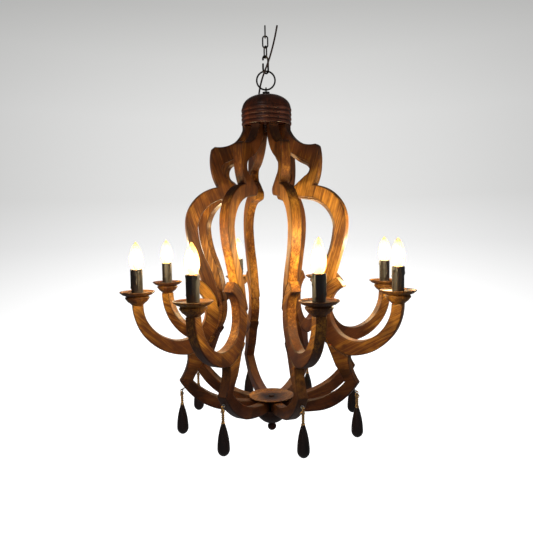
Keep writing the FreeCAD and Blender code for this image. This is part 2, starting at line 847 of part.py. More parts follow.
ring = doc.addObject("Part::Torus", "hanging_ring")
ring_round = (s.ring_outer - s.ring_wire) / 2
bind(ring, Radius1=ring_round, Radius2=s.ring_wire / 2)
place(ring, ring_low + ring_round)
ring.Placement.Rotation = Rotation(DIMENSIONS["chain_turn"], 0, 90)
keep(ring)


def bent_link(name, length, width, wire, gap=None, gap_rise=0.0):
    """A round-wire link standing in its own XZ plane, its top wire centred at height 0."""
    body = new_body(name)
    side = (width - wire) / 2
    high = -side
    low = side - (length - wire)
    middle = (high + low) / 2
    if gap is None:
        start = finish = middle
    else:
        start = middle + gap_rise - gap / 2
        finish = middle + gap_rise + gap / 2
    path = [(-side, start), (-side, low), (0, low - side, side, LEFT), (side, low, side, LEFT),
            (side, high), (0, high + side, side, LEFT), (-side, high, side, LEFT)]
    if gap is None:
        spine = draw(new_sketch(body, name + "_line", "XZ_Plane"), path)
    else:
        path.append((-side, finish))
        spine = draw(new_sketch(body, name + "_line", "XZ_Plane"), path, closed=False)
    section = draw_circle(new_sketch(body, name + "_section", "XY_Plane", z=start),
                          -side, 0, wire / 2)
    pipe = body.newObject("PartDesign::AdditivePipe", name + "_wire")
    pipe.Profile = section
    pipe.Spine = spine
    return body


chain_turn = DIMENSIONS["chain_turn"]
top_link = bent_link("top_link", s.link_length, s.link_width, s.chain_wire)
keep(place(top_link, half_chain, chain_turn + DIMENSIONS["top_link_turn"]))
link_one = bent_link("chain_link_1", s.link_length, s.link_width, s.chain_wire)
keep(place(link_one, link_one_high, chain_turn))
link_two = bent_link("chain_link_2", s.link_length, s.link_width, s.chain_wire)
keep(place(link_two, link_two_high, chain_turn + DIMENSIONS["link_two_turn"]))
open_link = bent_link("open_link", s.open_link_length, s.open_link_width, s.open_link_wire,
                      s.open_link_gap, s.open_link_gap_rise)
keep(place(open_link, open_link_high, chain_turn + DIMENSIONS["open_link_turn"]))


# ---------------------------------------------------------------- hub, dish, boss and finial

tie_hole = s.tie_radius + s.bolt_play
dish_rim = s.hub_top_level + s.dish_rim_height
dish = turn_on_lathe("bottom_dish", [
    (tie_hole, s.hub_top_level),
    (s.hub_seat_reach, s.hub_top_level),
    (s.dish_radius, dish_rim - s.dish_edge),
    (s.dish_radius, dish_rim),
    (s.dish_radius - s.dish_edge, dish_rim),
    (s.hub_seat_reach - s.dish_heel, s.hub_top_level + s.dish_floor),
    (tie_hole, s.hub_top_level + s.dish_floor)])
keep(place(dish, rim_level))

boss_edge = s.hub_bottom_level - s.boss_edge_height
boss = turn_on_lathe("bottom_boss", [
    (tie_hole, s.boss_foot_level),
    (s.boss_foot_radius, s.boss_foot_level),
    (s.boss_radius, boss_edge, s.boss_sweep, LEFT),
    (s.boss_radius, s.hub_bottom_level),
    (tie_hole, s.hub_bottom_level)])
keep(place(boss, rim_level))

finial_top = s.boss_foot_level
ball_top = finial_top - s.finial_neck_height
finial = turn_on_lathe("finial", [
    (0, ball_top - s.finial_ball_height),
    (s.finial_radius, ball_top - s.finial_girth_drop, s.finial_sweep, LEFT),
    (s.finial_neck_radius, ball_top, s.finial_sweep, LEFT),
    (s.finial_neck_radius, finial_top),
    (s.tie_radius, finial_top),
    (s.tie_radius, finial_top - s.tie_depth),
    (0, finial_top - s.tie_depth)])
keep(place(finial, rim_level))

tie_low = finial_top - s.tie_depth
tie_high = s.hub_top_level + s.dish_floor
tie = turn_on_lathe("tie_bolt", [
    (0, tie_low),
    (s.tie_radius, tie_low),
    (s.tie_radius, tie_high),
    (s.nut_radius, tie_high),
    (s.nut_radius, tie_high + s.screw_head_depth),
    (0, tie_high + s.screw_head_depth)])
keep(place(tie, rim_level))


# ---------------------------------------------------------------- supply cord

# Points of the cord in the chain's own frame: across, towards the back, and above the rims.
CORD_POINTS = [
    (-20, -3, 450), (-20, -3, 469), (-20, -4, 489), (-18.5, -9, 512), (-12, -14, 539),
    (-3.5, -16, 562), (5, -14, 583), (12, -11, 603), (18, -8, 624), (24, -5.5, 647),
    (28.5, -4, 667), (32, -3, 685)]


def tangent_path(points):
    """Straight runs joined by tangent arcs, each as large as its two runs allow."""
    edges = []
    start = points[0]
    for before, corner, after in zip(points, points[1:], points[2:]):
        inward = (before - corner)
        outward = (after - corner)
        turn = math.pi - inward.getAngle(outward)
        reach = 0.45 * min(inward.Length, outward.Length)
        radius = reach / math.tan(turn / 2)
        first = corner + inward.normalize() * reach
        last = corner + outward.normalize() * reach
        bisector = (inward + outward).normalize()
        middle = corner + bisector * (radius / math.cos(turn / 2) - radius)
        edges.append(Part.LineSegment(start, first).toShape())
        edges.append(Part.Arc(first, middle, last).toShape())
        print("cord bend radius %.1f mm" % radius)
        start = last
    edges.append(Part.LineSegment(start, points[-1]).toShape())
    return Part.Wire(edges)


def cord_tube(points, radius):
    path = tangent_path(points)
    direction = points[1] - points[0]
    ring_edge = Part.makeCircle(radius, points[0], direction)
    shell = path.makePipeShell([Part.Wire([ring_edge])], True, True)
    expected = math.pi * radius * radius * path.Length
    print("cord length %.1f mm, volume over section times length %.4f"
          % (path.Length, shell.Volume / expected))
    return shell


cord = doc.addObject("Part::Feature", "supply_cord")
cord.Shape = cord_tube([Vector(*point) for point in CORD_POINTS], s.cord_radius.value)
keep(place(cord, rim_level, DIMENSIONS["chain_turn"]))


# ---------------------------------------------------------------- checks and export

doc.recompute()
for item in doc.Objects:
    if "Invalid" in item.State or "Error" in item.State:
        sys.exit("%s failed: %s" % (item.Name, item.State))
for item in nodes:
    if item.Shape.isNull() or not item.Shape.isValid():
        sys.exit("%s has no valid shape" % item.Label)

os.makedirs("parts", exist_ok=True)
for item in nodes:
    item.Shape.exportStep("parts/%s.step" % item.Label)
print("%d nodes, %d solids" % (len(nodes), sum(len(item.Shape.Solids) for item in nodes)))
print("the cup rims lie at %.3f mm" % rim_level.value)
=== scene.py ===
import math
import random

import bmesh
import bpy
from bpy.props import FloatProperty, FloatVectorProperty, PointerProperty
from mathutils import Matrix, Vector, noise
from mathutils.geometry import delaunay_2d_cdt


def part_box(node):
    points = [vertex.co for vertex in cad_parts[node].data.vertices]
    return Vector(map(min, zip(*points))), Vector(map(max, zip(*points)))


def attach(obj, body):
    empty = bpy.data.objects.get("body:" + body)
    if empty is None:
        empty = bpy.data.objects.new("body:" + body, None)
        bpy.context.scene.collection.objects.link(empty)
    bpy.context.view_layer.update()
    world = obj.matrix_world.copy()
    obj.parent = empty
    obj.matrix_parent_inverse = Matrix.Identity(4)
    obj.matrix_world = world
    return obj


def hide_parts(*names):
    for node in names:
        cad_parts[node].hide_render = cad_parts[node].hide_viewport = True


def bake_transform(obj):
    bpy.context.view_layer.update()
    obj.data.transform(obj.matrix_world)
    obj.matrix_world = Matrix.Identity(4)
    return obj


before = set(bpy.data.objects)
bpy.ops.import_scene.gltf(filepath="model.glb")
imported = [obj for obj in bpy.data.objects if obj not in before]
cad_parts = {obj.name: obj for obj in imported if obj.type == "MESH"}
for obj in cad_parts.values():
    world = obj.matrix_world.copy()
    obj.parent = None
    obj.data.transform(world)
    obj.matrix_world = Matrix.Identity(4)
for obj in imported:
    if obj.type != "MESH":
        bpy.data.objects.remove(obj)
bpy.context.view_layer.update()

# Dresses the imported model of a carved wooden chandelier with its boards, turned pieces,
# candles, bulbs, twine, chain, cord and stage. Sizes in this file are millimetres, with
# heights counted from the rims of the candle cups, until a shape is built in metres. What a
# finish, a lamp or the camera is given is in metres.

bl_info = {
    "name": "Carved wooden chandelier",
    "version": (1, 0, 0),
    "blender": (4, 5, 0),
    "location": "3D View > Sidebar > Chandelier",
    "description": "Builds the wood, candles, bulbs, drops and chain of the chandelier",
    "category": "Object",
}

# The height of the cup rims, in metres, and the thickness of a board. Arm 1 lies along Y.
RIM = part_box("candle_cups")[1].z
BOARD = 1000 * (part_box("arm_1")[1].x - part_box("arm_1")[0].x)

# The lights, and how far from the axis the candles stand and the drops hang.
LIGHTS = range(1, 9)
ARM_REACH = 350
PIVOT_REACH = 245

# How far the cap, the ring and the chain are turned about the axis.
CHAIN_TURN = math.radians(-17)

# On which side of an outline's direction an arc has its centre.
LEFT, RIGHT = 1, -1

# Lines that turn by more than this at a point, in radians, have a corner there.
SHARP_TURN = 0.4


# ------------------------ sizes and colours to change

def colour_property(name, description, default):
    return FloatVectorProperty(name=name, description=description, subtype="COLOR",
                               default=default, min=0, max=1)


class BoardLook(bpy.types.PropertyGroup):
    """How the sawn boards are finished"""
    thickness: FloatProperty(
        name="Thickness", description="Thickness of ribs, arms and feet, in millimetres",
        default=BOARD, min=10, max=60)
    rounding: FloatProperty(
        name="Rounding", description="How far the long edges are rounded over, in millimetres",
        default=2.2, min=0.2, max=5)
    fade: FloatProperty(
        name="Dark edge", description="Width of the darkened edge, in millimetres",
        default=6, min=3, max=11)
    shake: FloatProperty(
        name="Unevenness", description="How far the sawn line wanders, in millimetres",
        default=0.8, min=0, max=2)


class WoodLook(bpy.types.PropertyGroup):
    """Colours of the stained wood"""
    pale: colour_property("Pale grain", "Colour where the stain is worn thin", (0.5, 0.22, 0.03))
    middle: colour_property("Middle grain", "The wood's main colour", (0.125, 0.041, 0.007))
    dark: colour_property("Dark grain", "Colour of the dark figure", (0.035, 0.0095, 0.0035))
    edge: colour_property("Edges", "Colour of the darkened edges", (0.026, 0.008, 0.003))
    cap: colour_property("Cap", "Colour of the turned cap, boss and finial", (0.062, 0.015, 0.006))
    drop: colour_property("Drops", "Colour of the hanging drops", (0.02, 0.0085, 0.0075))


class CandleLook(bpy.types.PropertyGroup):
    """How the candles and their bulbs look"""
    resin: colour_property("Sleeve", "Colour of the candle sleeves", (0.010, 0.0062, 0.0052))
    drip: FloatProperty(
        name="Drips", description="How far the wax drips stand out, in millimetres",
        default=2.0, min=0, max=3)
    glow: colour_property("Glow", "Colour of the lit bulb's heart", (1.0, 0.93, 0.74))
    lamp_power: FloatProperty(
        name="Bulb light", description="Power of each bulb's light on the wood",
        subtype="POWER", default=4.0, min=0, max=8)


class MetalLook(bpy.types.PropertyGroup):
    """Colours of chain, twine and cord"""
    bronze: colour_property("Chain", "Colour of the chain and ring", (0.012, 0.007, 0.005))
    twine: colour_property("Twine", "Colour of the jute twine", (0.4, 0.23, 0.085))
    cord: colour_property("Cord", "Colour of the supply cord", (0.03, 0.014, 0.01))


class StageLook(bpy.types.PropertyGroup):
    """Light and background"""
    sky: FloatProperty(
        name="All round light", description="Strength of the even light from all sides",
        default=0.13, min=0, max=2)
    key: FloatProperty(
        name="Key light", description="Power of the large soft lamp", subtype="POWER",
        default=14, min=0, max=300)
    fill: FloatProperty(
        name="Fill light", description="Power of the second soft lamp", subtype="POWER",
        default=5, min=0, max=300)


LOOKS = {"chandelier_boards": BoardLook, "chandelier_wood": WoodLook,
         "chandelier_candles": CandleLook, "chandelier_metal": MetalLook,
         "chandelier_stage": StageLook}


# ------------------------ finishes

class Wire:
    """A value, colour or vector inside a finish. Sums on values add their Math nodes."""

    def __init__(self, finish, socket):
        self.finish = finish
        self.socket = socket

    def maths(self, operation, *values):
        return self.finish.node("ShaderNodeMath", {"operation": operation},
                                dict(enumerate(values)))

    def __add__(self, other):
        return self.maths("ADD", self, other)

    def __sub__(self, other):
        return self.maths("SUBTRACT", self, other)

    def __rsub__(self, other):
        return self.maths("SUBTRACT", other, self)

    def __mul__(self, other):
        return self.maths("MULTIPLY", self, other)

    __radd__ = __add__


class Finish:
    """The nodes of one material, or of the world."""

    def __init__(self, owner):
        self.owner = owner
        owner.use_nodes = True
        self.tree = owner.node_tree
        self.tree.nodes.clear()

    def node(self, kind, settings=None, sockets=None, output=0):
        """Add a node: its settings first, then the values or links of its sockets."""
        made = self.tree.nodes.new(kind)
        for name, value in (settings or {}).items():
            if name == "stops":
                fill_ramp(made.color_ramp, value)
            else:
                setattr(made, name, value)
        for name, value in (sockets or {}).items():
            if isinstance(value, Wire):
                self.tree.links.new(value.socket, made.inputs[name])
            else:
                made.inputs[name].default_value = value
        return Wire(self, made.outputs[output] if len(made.outputs) else None)

    def grain_place(self):
        """The place along the wood's grain that each built piece carries, in metres."""
        return self.node("ShaderNodeAttribute", {"attribute_name": "Grain"}, output=1)

    def object_place(self):
        """The place in the whole model, in metres."""
        return self.node("ShaderNodeTexCoord", output=3)

    def height(self, place):
        """The Z of a place."""
        return self.node("ShaderNodeSeparateXYZ", None, {0: place}, 2)

    def worn_edge(self):
        """1 on a piece's edges, 0 away from them."""
        return self.node("ShaderNodeAttribute", {"attribute_name": "Edge"}, output=2)

    def noise(self, place, stretch, detail=2.0, roughness=0.5):
        """Noise that repeats about as often per metre along X, Y and Z as stretch says."""
        stretched = self.node("ShaderNodeVectorMath", {"operation": "MULTIPLY"},
                              {0: place, 1: stretch})
        return self.node("ShaderNodeTexNoise", None,
                         {"Vector": stretched, "Scale": 1.0, "Detail": detail,
                          "Roughness": roughness})

    def eased(self, value, low, high):
        """0 below low, 1 above high, and a smooth step between."""
        return self.node("ShaderNodeMapRange", {"interpolation_type": "SMOOTHSTEP"},
                         {"Value": value, "From Min": low, "From Max": high})

    def mixed(self, factor, first, second):
        return self.node("ShaderNodeMix", {"data_type": "RGBA"},
                         {0: factor, 6: solid(first), 7: solid(second)}, 2)

    def ramp(self, value, stops):
        return self.node("ShaderNodeValToRGB", {"stops": stops}, {"Fac": value})

    def bump(self, height, strength, distance):
        return self.node("ShaderNodeBump", None,
                         {"Height": height, "Strength": strength, "Distance": distance})

    def surface(self, **sockets):
        """A Principled surface. Names of sockets are given with _ for their spaces."""
        named = {name.replace("_", " "): solid(value) for name, value in sockets.items()}
        shader = self.node("ShaderNodeBsdfPrincipled", None, named)
        self.node("ShaderNodeOutputMaterial", None, {"Surface": shader})
        return self.owner


def solid(colour):
    """A colour of three numbers with its fourth, and anything else as it is."""
    if isinstance(colour, (Wire, float, int)):
        return colour
    return (*colour, 1.0) if len(colour) == 3 else tuple(colour)


def fill_ramp(ramp, stops):
    while len(ramp.elements) < len(stops):
        ramp.elements.new(1.0)
    for element, (place, colour) in zip(ramp.elements, stops):
        element.position = place
        element.color = solid(colour)


def new_finish(name):
    return Finish(bpy.data.materials.new(name))


def scaled(colour, share):
    return tuple(share * part for part in colour)


# Between which heights above the cup rims the wood gets darker, upwards and downwards: painted
# shade away from the bulbs' light, mixed with darker stain.
SHADE_AND_STAIN_UP = (0.25, 0.43)
SHADE_AND_STAIN_DOWN = (-0.02, -0.22)


def grained_wood(name, pale, middle, dark, edge, built=True, wax=0.1, rough=0.42, stain=0.85):
    """Open-grained hardwood under stain and wax. Built pieces are darker towards the top and the
    foot of the chandelier, a painted shade away from the bulbs' light mixed with darker stain, as
    strongly as stain says. They are also darker in patches and on parts of their edges."""
    wood = new_finish(name)
    place = wood.grain_place() if built else wood.object_place()
    fibre = wood.noise(place, (520, 520, 22), 4.0, 0.65)
    pores = wood.noise(place, (1500, 1500, 48), 2.0)
    blotch = wood.noise(place, (8, 8, 5), 4.0, 0.6)
    figure = wood.noise(place, (160, 160, 7), 3.0, 0.6)
    tone = blotch + fibre * 0.5 + figure * 0.5 - 0.5
    colour = wood.ramp(tone, [(0.3, dark), (0.5, middle), (0.72, pale)])
    pits = wood.eased(pores, 0.36, 0.3)
    colour = wood.mixed(pits * 0.55, colour, scaled(dark, 0.6))
    if built:
        # Painted shade with darker stain: high and low darken the wood towards the top and the
        # foot, away from the bulbs' light.
        level = wood.height(wood.object_place()) + blotch * 0.2 - 0.1
        high = wood.eased(level, *(RIM + up for up in SHADE_AND_STAIN_UP))
        low = wood.eased(level, *(RIM + down for down in SHADE_AND_STAIN_DOWN))
        shade_and_stain = (high + low) * stain
        colour = wood.mixed(shade_and_stain, colour, scaled(dark, 1.4))
        # Dark stain patches, stronger where the painted shade and stain darken the wood.
        patch = wood.eased(wood.noise(place, (26, 26, 13), 3.0, 0.6), 0.5, 0.64)
        colour = wood.mixed(patch * (shade_and_stain * 0.55 + 0.3), colour, scaled(dark, 0.45))
        broken = wood.noise(place, (45, 45, 30), 2.0)
        rubbed = wood.eased(wood.worn_edge() + broken * 1.4 + fibre * 0.3, 1.15, 2.0)
        colour = wood.mixed(rubbed * 0.6, colour, edge)
    height = fibre * 0.5 + blotch * 0.6 - pits * 0.5
    return wood.surface(
        Base_Color=colour, Roughness=rough + fibre * 0.22, Specular_IOR_Level=0.18,
        Coat_Weight=wax, Coat_Roughness=0.3, Normal=wood.bump(height, 0.5, 0.0007))


def twine_finish(colour):
    twine = new_finish("jute_twine")
    place = twine.grain_place()
    hairs = twine.noise(place, (900, 900, 300), 4.0, 0.7)
    shade = twine.ramp(hairs, [(0.3, scaled(colour, 0.35)), (0.52, colour),
                               (0.72, scaled(colour, 1.7))])
    return twine.surface(Base_Color=shade, Roughness=0.9, Sheen_Weight=0.3,
                         Normal=twine.bump(hairs, 0.8, 0.0006))


def resin_finish(colour):
    resin = new_finish("candle_resin")
    place = resin.grain_place()
    streak = resin.noise(place, (260, 260, 30), 3.0, 0.6)
    speck = resin.noise(place, (900, 900, 900), 2.0)
    shade = resin.ramp(streak, [(0.32, scaled(colour, 0.55)), (0.5, colour),
                                (0.7, scaled(colour, 2.4))])
    return resin.surface(Base_Color=shade, Roughness=0.32 + speck * 0.25, Specular_IOR_Level=0.45,
                         Normal=resin.bump(streak * 0.6 + speck * 0.3, 0.35, 0.0006))


def metal_finish(name, colour, rough, metallic, built=True):
    metal = new_finish(name)
    place = metal.grain_place() if built else metal.object_place()
    cast = metal.noise(place, (420, 420, 420), 4.0, 0.6)
    worn = metal.noise(place, (70, 70, 70), 3.0)
    shade = metal.ramp(worn, [(0.35, scaled(colour, 0.7)), (0.55, colour),
                              (0.72, scaled(colour, 1.7))])
    return metal.surface(Base_Color=shade, Metallic=metallic, Roughness=rough + cast * 0.2,
                         Normal=metal.bump(cast, 0.25, 0.0004))


def plastic_finish(name, colour, rough, built=True):
    plastic = new_finish(name)
    place = plastic.grain_place() if built else plastic.object_place()
    skin = plastic.noise(place, (1200, 1200, 1200), 2.0)
    cloud = plastic.noise(place, (60, 60, 60), 2.0)
    shade = plastic.ramp(cloud, [(0.35, scaled(colour, 0.85)), (0.65, scaled(colour, 1.15))])
    return plastic.surface(Base_Color=shade, Roughness=rough + skin * 0.15,
                           Normal=plastic.bump(skin, 0.2, 0.0003))


def glass_finish():
    """Clear bulb glass with a warm haze, less clear towards its tip."""
    glass = new_finish("bulb_glass")
    place = glass.grain_place()
    haze = glass.noise(place, (60, 60, 40), 2.0)
    tint = glass.ramp(haze, [(0.3, (1.0, 0.7, 0.36)), (0.7, (1.0, 0.82, 0.52))])
    thick = glass.eased(glass.height(place), 0.108, 0.124)
    return glass.surface(Base_Color=(0.42, 0.22, 0.08), Roughness=0.04,
                         Alpha=0.4 + thick * 0.35, Emission_Color=tint,
                         Emission_Strength=0.16)


def glow_finish(glow):
    """The bulb's bright heart, more orange towards its foot."""
    heart = new_finish("bulb_glow")
    upwards = heart.eased(heart.height(heart.grain_place()), 0.052, 0.078)
    shade = heart.mixed(upwards, (1.0, 0.55, 0.2), glow)
    return heart.surface(Base_Color=(0.9, 0.8, 0.6), Roughness=0.5, Emission_Color=shade,
                         Emission_Strength=1.9)


# ------------------------ shapes

def bearing(number):
    """The angle of light 1, 2, ...: the first faces -Y, the others follow anticlockwise."""
    return math.radians(-90 + 45 * (number - 1))


def at_light(number, reach=0.0):
    """The place of a light: X leads outwards, and the start is this far from the axis."""
    return Matrix.Rotation(bearing(number), 4, "Z") @ Matrix.Translation((reach, 0, 0))


def full_turn(count):
    """Angles in even steps, once round."""
    return [2 * math.pi * k / count for k in range(count)]


def arc_points(start, end, radius, side, step):
    """Points after start on the short arc to end, with its centre on the given side."""
    chord = end - start
    half = chord.length / 2
    rise = math.sqrt(max(radius * radius - half * half, 0))
    centre = (start + end) / 2 + Vector((-chord.y, chord.x)).normalized() * side * rise
    first = math.atan2(start.y - centre.y, start.x - centre.x)
    sweep = 2 * math.asin(min(1, half / radius))
    count = max(2, math.ceil(radius * sweep / step))
    turns = [first + side * sweep * k / count for k in range(1, count + 1)]
    return [centre + Vector((math.cos(turn), math.sin(turn))) * radius for turn in turns]


def drawn_line(path, closed, step):
    """The points of an outline whose steps are (x, y) or (x, y, radius, side of centre)."""
    steps = path[1:] + (path[:1] if closed else [])
    points = [Vector(path[0][:2])]
    for here in steps:
        end = Vector(here[:2])
        if len(here) == 4:
            points += arc_points(points[-1], end, here[2], here[3], step)
        else:
            run = end - points[-1]
            count = max(1, math.ceil(run.length / (2 * step)))
            points += [points[-1] + run * k / count for k in range(1, count + 1)]
    return points[:-1] if closed else points


def softened(points, closed, cut, fade=5.0):
    """The line with its corners cut round, as (x, y, wear): wear is 1 on each corner and
    fades to 0 along the line."""
    made = []
    count = len(points)
    for index, here in enumerate(points):
        inner = closed or 0 < index < count - 1
        before = points[index - 1] if inner else here
        after = points[(index + 1) % count] if inner else here
        into = here - before
        out = after - here
        if (not inner or min(into.length, out.length) < 1e-6
                or into.angle(out) < SHARP_TURN):
            made.append((here.x, here.y, 0.0))
            continue
        back = min(cut, 0.4 * into.length)
        on = min(cut, 0.4 * out.length)
        into.normalize()
        out.normalize()
        first = here - into * back
        last = here + out * on
        middle = (first + last) / 4 + here / 2
        if (here - before).length > 1.6 * fade:
            made.append((*(here - into * fade), 0.0))
        made += [(*first, 0.75), (*middle, 1.0), (*last, 0.75)]
        if (after - here).length > 1.6 * fade:
            made.append((*(here + out * fade), 0.0))
    return made


def joined_rows(count, rows, loop=False, caps=False):
    """Faces between rows of points that follow each other, each row a closed ring."""
    faces = []
    for row in range(rows if loop else rows - 1):
        here = row * count
        there = (row + 1) % rows * count
        for i in range(count):
            j = (i + 1) % count
            faces.append((here + i, here + j, there + j, there + i))
    if caps:
        faces.append(tuple(reversed(range(count))))
        faces.append(tuple(range((rows - 1) * count, rows * count)))
    return faces


class Shape:
    """Gathers the points and faces of one piece, in millimetres above the cup rims."""

    def __init__(self):
        self.points = []
        self.faces = []
        self.grain = []
        self.wear = []
        self.skins = []

    def add(self, points, faces, place=Matrix(), wear=None, skin=0, grain=None, shift=(0, 0, 0)):
        first = len(self.points)
        self.points += [place @ Vector(point) for point in points]
        self.faces += [[first + corner for corner in face] for face in faces]
        self.grain += [Vector(point) + Vector(shift) for point in (grain or points)]
        self.wear += wear or [0.0] * len(points)
        self.skins += [skin] * len(faces)

    def turn(self, profile, closed, sides, place=Matrix(), skin=0, shift=(0, 0, 0), swell=None):
        """A piece turned on a lathe from (distance, height, wear). What swell gives for an
        angle, a height and a distance stands out from it."""
        points = []
        for reach, level, _ in profile:
            for angle in full_turn(sides):
                radius = reach + (swell(angle, level, reach) if swell else 0)
                points.append((radius * math.cos(angle), radius * math.sin(angle), level))
        wear = [row[2] for row in profile for side in range(sides)]
        faces = joined_rows(sides, len(profile), closed)
        self.add(points, faces, place, wear, skin, shift=shift)

    def sweep(self, line, radius, sides, closed=False, across=None, place=Matrix(), skin=0,
              shift=(0, 0, 0)):
        """A round wire or strand along a line. The radius may change from point to point."""
        count = len(line)
        radii = radius if isinstance(radius, list) else [radius] * count
        across = Vector(across) if across else (line[1] - line[0]).orthogonal()
        points = []
        grain = []
        run = 0.0
        for index, here in enumerate(line):
            before = line[index - 1] if closed or index else here
            after = line[(index + 1) % count] if closed or index < count - 1 else here
            along = (after - before).normalized()
            across = (across - along * across.dot(along)).normalized()
            other = along.cross(across)
            if index:
                run += (here - line[index - 1]).length
            for angle in full_turn(sides):
                x = math.cos(angle)
                y = math.sin(angle)
                points.append(here + (across * x + other * y) * radii[index])
                grain.append((x * radii[index], y * radii[index], run))
        faces = joined_rows(sides, count, closed, not closed)
        self.add(points, faces, place, None, skin, grain, shift)

    def build(self, name, finishes, body, nodes=()):
        """Make the piece, in metres, and let it ride on its body in place of its nodes."""
        mesh = bpy.data.meshes.new(name)
        mesh.from_pydata([metres(point) for point in self.points], [], self.faces)
        for finish in finishes:
            mesh.materials.append(finish)
        mesh.polygons.foreach_set("material_index", self.skins)
        mesh.polygons.foreach_set("use_smooth", [True] * len(mesh.polygons))
        grain = mesh.attributes.new("Grain", "FLOAT_VECTOR", "POINT")
        grain.data.foreach_set("vector", [0.001 * part for place in self.grain for part in place])
        wear = mesh.attributes.new("Edge", "FLOAT", "POINT")
        wear.data.foreach_set("value", self.wear)
        work = bmesh.new()
        work.from_mesh(mesh)
        bmesh.ops.remove_doubles(work, verts=work.verts, dist=1e-6)
        bmesh.ops.recalc_face_normals(work, faces=work.faces)
        work.to_mesh(mesh)
        work.free()
        piece = bpy.data.objects.new(name, mesh)
        bpy.context.scene.collection.objects.link(piece)
        if body:
            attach(piece, body)
        if nodes:
            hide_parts(*nodes)
        return piece


def metres(point):
    """A point of this file, in millimetres above the cup rims, in the model's metres."""
    return point * 0.001 + Vector((0, 0, RIM))


def dress(node, finish):
    """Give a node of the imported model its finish."""
    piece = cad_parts[node]
    if not piece.data.materials:
        piece.data.materials.append(finish)
    for slot in piece.material_slots:
        slot.material = finish


# ------------------------ boards

# The round back of an arm: its centre's distance from the axis and height, and its radius.
BACK_REACH = 250
BACK_LEVEL = -66
BACK = 107


def on_back(angle):
    """A point on the round back of an arm, where the rib and the foot are glued on."""
    turn = math.radians(angle)
    return BACK_REACH + BACK * math.cos(turn), BACK_LEVEL + BACK * math.sin(turn)


WAIST = on_back(172)
HEEL = on_back(257.6)

# Outlines. Their steps are (distance from the axis, height) at the end of a straight run, or
# these with a radius and the side of its centre at the end of an arc.
RIB_LINE = [
    (34, 424), (64, 424), (64, 414), (144, 365, 73.9, LEFT), (150, 360),
    (137, 262, 131.7, RIGHT), (223, 165, 96.4, RIGHT), (208, 90, 198, RIGHT),
    on_back(127.5), (*WAIST, BACK, LEFT), (175, 78, 267.5, RIGHT), (193, 156, 238.9, LEFT),
    (131, 230, 82.9, LEFT), (83, 236), (83, 262, 14.5, RIGHT), (113, 286),
    (113, 327, 22, LEFT), (34, 409, 122.8, RIGHT)]

ARM_LINE = [
    (336.5, -34), (260, -131, 98.9, RIGHT), (178, -52, 70.9, RIGHT), (216, 3, 53.5, RIGHT),
    on_back(120), (*WAIST, BACK, LEFT), (*HEEL, BACK, LEFT), (363.5, -34, 136.9, LEFT)]

FOOT_LINE = [
    on_back(212), (*HEEL, BACK, LEFT), (HEEL[0], -186), (250, -240, 116.2, LEFT),
    (156, -321, 186.7, RIGHT), (50, -338, 383.5, RIGHT), (34, -338), (34, -310), (50, -310),
    (157, -286, 246.2, LEFT), (216, -240, 197.4, LEFT), (192, -200, 162.4, LEFT)]


# How far apart the points of a board's outline are, and how far its sharp inner corners are
# cut round.
OUTLINE_STEP = 4
CORNER_CUT = 1.8


def board_shape(path, look, seed, slope):
    """A sawn board with rounded edges, its grain leaning by slope degrees. Each row of points
    runs round the outline. The seed sets how the board wanders and bows."""
    outline = drawn_line(path, True, OUTLINE_STEP)
    area = sum(a.x * b.y - b.x * a.y for a, b in zip(outline, outline[1:] + outline[:1]))
    if area < 0:
        outline.reverse()
    rim = []
    inside = []
    count = len(outline)
    for index, here in enumerate(outline):
        into = here - outline[index - 1]
        out = outline[(index + 1) % count] - here
        room = min(into.length, out.length)
        bend = into.angle_signed(out)
        into.normalize()
        out.normalize()
        inward = Vector((-into.y - out.y, into.x + out.x))
        inward /= max(0.45, 1 + into.dot(out))
        drift = noise.noise(Vector((here.x * 0.018, here.y * 0.018, seed * 7.3)))
        here = here + inward * look.shake * drift
        target = here + inward * look.fade
        corner = [here]
        if bend < -SHARP_TURN:
            cut = min(CORNER_CUT, 0.4 * room)
            first = here - into * cut
            last = here + out * cut
            corner = [first, (first + last) / 4 + here / 2, last]
        rim += corner
        inside += [target] * len(corner)
    half = look.thickness / 2
    small = look.rounding
    rows = [(look.fade, half, 0.0), (0.6 * look.fade, half, 0.35), (small, half, 0.9),
            (0.3 * small, half - 0.3 * small, 1.0), (0, half - small, 0.9),
            (0, half - 0.4 * look.fade, 0.45), (0, half - look.fade, 0.0)]
    rows += [(inset, -depth, wear) for inset, depth, wear in reversed(rows)]
    lean = math.radians(slope)
    board = Shape()

    def lay(spots, depth, mask, faces):
        points = []
        for spot in spots:
            bow = 0.25 * noise.noise(Vector((spot.x * 0.02, spot.y * 0.02, seed * 3.1 + 40)))
            points.append((spot.x, depth + (bow if abs(depth) > half - 3 else 0), spot.y))
        grain = [(x * math.cos(lean) - z * math.sin(lean), y,
                  x * math.sin(lean) + z * math.cos(lean)) for x, y, z in points]
        board.add(points, faces, wear=[mask] * len(points), grain=grain)

    for inset, depth, mask in rows:
        lay([edge.lerp(middle, inset / look.fade) for edge, middle in zip(rim, inside)],
            depth, mask, [])
    board.faces = joined_rows(len(rim), len(rows))
    board.skins = [0] * len(board.faces)
    spots, _, faces, *_ = delaunay_2d_cdt(inside, [], [tuple(range(len(inside)))], 1, 1e-5)
    for depth in (half, -half):
        lay(spots, depth, 0.0, faces)
    return board


